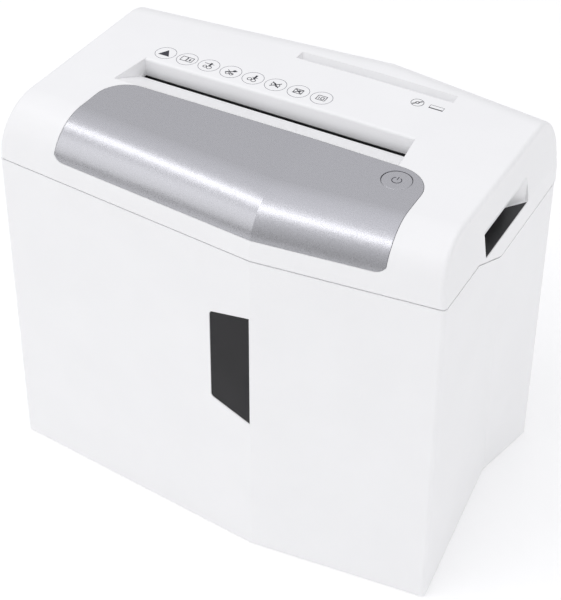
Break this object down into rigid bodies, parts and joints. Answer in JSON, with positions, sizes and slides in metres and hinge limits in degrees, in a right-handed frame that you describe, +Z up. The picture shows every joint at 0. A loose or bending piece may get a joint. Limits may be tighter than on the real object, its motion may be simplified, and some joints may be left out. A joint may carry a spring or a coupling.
{
  "type": "paper shredder",
  "caption": "Paper shredder: a tall white bin with a smoked window under a lift-off head with a paper throat, a disc slot, a silver panel and geared cutter rollers.",
  "frame": {"origin": "on the floor, in the middle of the object's bounding box", "axes": "+X to the right of someone facing the front, +Y to the back, +Z up"},
  "size_m": [0.3653, 0.236, 0.317],
  "materials": {
    "white_abs": "satin moulded white plastic",
    "smoked_window": "clear smoked plastic",
    "silver_plastic": "satin silver lacquer",
    "black_abs": "fine-grained black plastic",
    "black_nylon": "smooth black plastic",
    "zinc_plate": "zinc-plated steel",
    "cutter_steel": "ground hardened steel",
    "sintered_bronze": "oiled sintered bronze",
    "nylon_gear": "natural nylon",
    "motor_steel": "drawn plated steel",
    "rotor_steel": "steel stack with copper windings",
    "ferrite": "sintered ferrite",
    "circuit_board": "solder mask over glass-fibre board",
    "capacitor_sleeve": "heat-shrink sleeve",
    "relay_blue": "moulded blue plastic",
    "terminal_green": "moulded green plastic",
    "black_rubber": "soft black rubber"
  },
  "bodies": {
    "bin": {"bin_shell": "white_abs", "bin_window": "smoked_window"},
    "head": {"head_cover": "white_abs", "control_panel": "silver_plastic", "grip_liner_left": "black_abs", "grip_liner_right": "black_abs", "paper_guide_front": "black_abs", "paper_guide_rear": "black_abs", "disc_guide_front": "black_abs", "disc_guide_rear": "black_abs", "paper_switch": "black_nylon", "side_plate": "zinc_plate", "gear_plate": "zinc_plate", "tie_rods": "zinc_plate", "rod_screws": "zinc_plate", "comb_front": "black_abs", "comb_rear": "black_abs", "shaft_bushes": "sintered_bronze", "gear_axles": "zinc_plate", "gearbox_cover": "black_abs", "motor_can": "motor_steel", "motor_end_bell": "motor_steel", "motor_magnets": "ferrite", "motor_screws": "zinc_plate", "head_base": "black_abs", "cover_screws": "zinc_plate", "main_board": "circuit_board", "capacitor": "capacitor_sleeve", "relay": "relay_blue", "terminal_block": "terminal_green", "button_board": "circuit_board", "button_switch": "black_nylon", "interlock_switch": "black_nylon", "cord_gland": "black_rubber"},
    "power_button": {"power_button": "silver_plastic"},
    "paper_lever": {"paper_lever": "black_nylon"},
    "front_cutter": {"front_cutter": "cutter_steel", "drive_gear": "nylon_gear", "front_sync_gear": "nylon_gear", "front_rings": "zinc_plate"},
    "rear_cutter": {"rear_cutter": "cutter_steel", "rear_sync_gear": "nylon_gear", "rear_ring": "zinc_plate"},
    "first_gear": {"first_gear": "nylon_gear"},
    "second_gear": {"second_gear": "nylon_gear"},
    "rotor": {"motor_rotor": "rotor_steel", "motor_pinion": "motor_steel"}
  },
  "joints": [
    {"name": "head_lift", "type": "slide", "parent": "bin", "child": "head", "axis": [0, 0, 1], "range_m": [0, 0.12]},
    {"name": "power_button_press", "type": "slide", "parent": "head", "child": "power_button", "axis": [0, 0, -1], "range_m": [0, 0.0015], "stiffness_N_per_m": 600, "springref_m": -0.001},
    {"name": "paper_lever_tilt", "type": "hinge", "parent": "head", "child": "paper_lever", "pos_m": [-0.009, 0.00599, 0.278], "axis": [-1, 0, 0], "range_deg": [0, 45], "stiffness_Nm_per_rad": 0.002, "springref_deg": -22.92},
    {"name": "front_spin", "type": "hinge", "parent": "head", "child": "front_cutter", "pos_m": [0, 0.017, 0.236], "axis": [1, 0, 0], "continuous": true},
    {"name": "rear_spin", "type": "hinge", "parent": "head", "child": "rear_cutter", "pos_m": [0, 0.051, 0.236], "axis": [1, 0, 0], "continuous": true},
    {"name": "second_gear_spin", "type": "hinge", "parent": "head", "child": "second_gear", "pos_m": [0.12, -0.00919, 0.26884], "axis": [1, 0, 0], "continuous": true},
    {"name": "first_gear_spin", "type": "hinge", "parent": "head", "child": "first_gear", "pos_m": [0.115, -0.03051, 0.23799], "axis": [1, 0, 0], "continuous": true},
    {"name": "rotor_spin", "type": "hinge", "parent": "head", "child": "rotor", "pos_m": [0.05, -0.058, 0.25], "axis": [1, 0, 0], "continuous": true}
  ],
  "couplings": [
    {"joint": "rear_spin", "follows": "front_spin", "ratio": -1},
    {"joint": "second_gear_spin", "follows": "front_spin", "ratio": -2.5},
    {"joint": "first_gear_spin", "follows": "front_spin", "ratio": 10},
    {"joint": "rotor_spin", "follows": "front_spin", "ratio": -50}
  ]
}
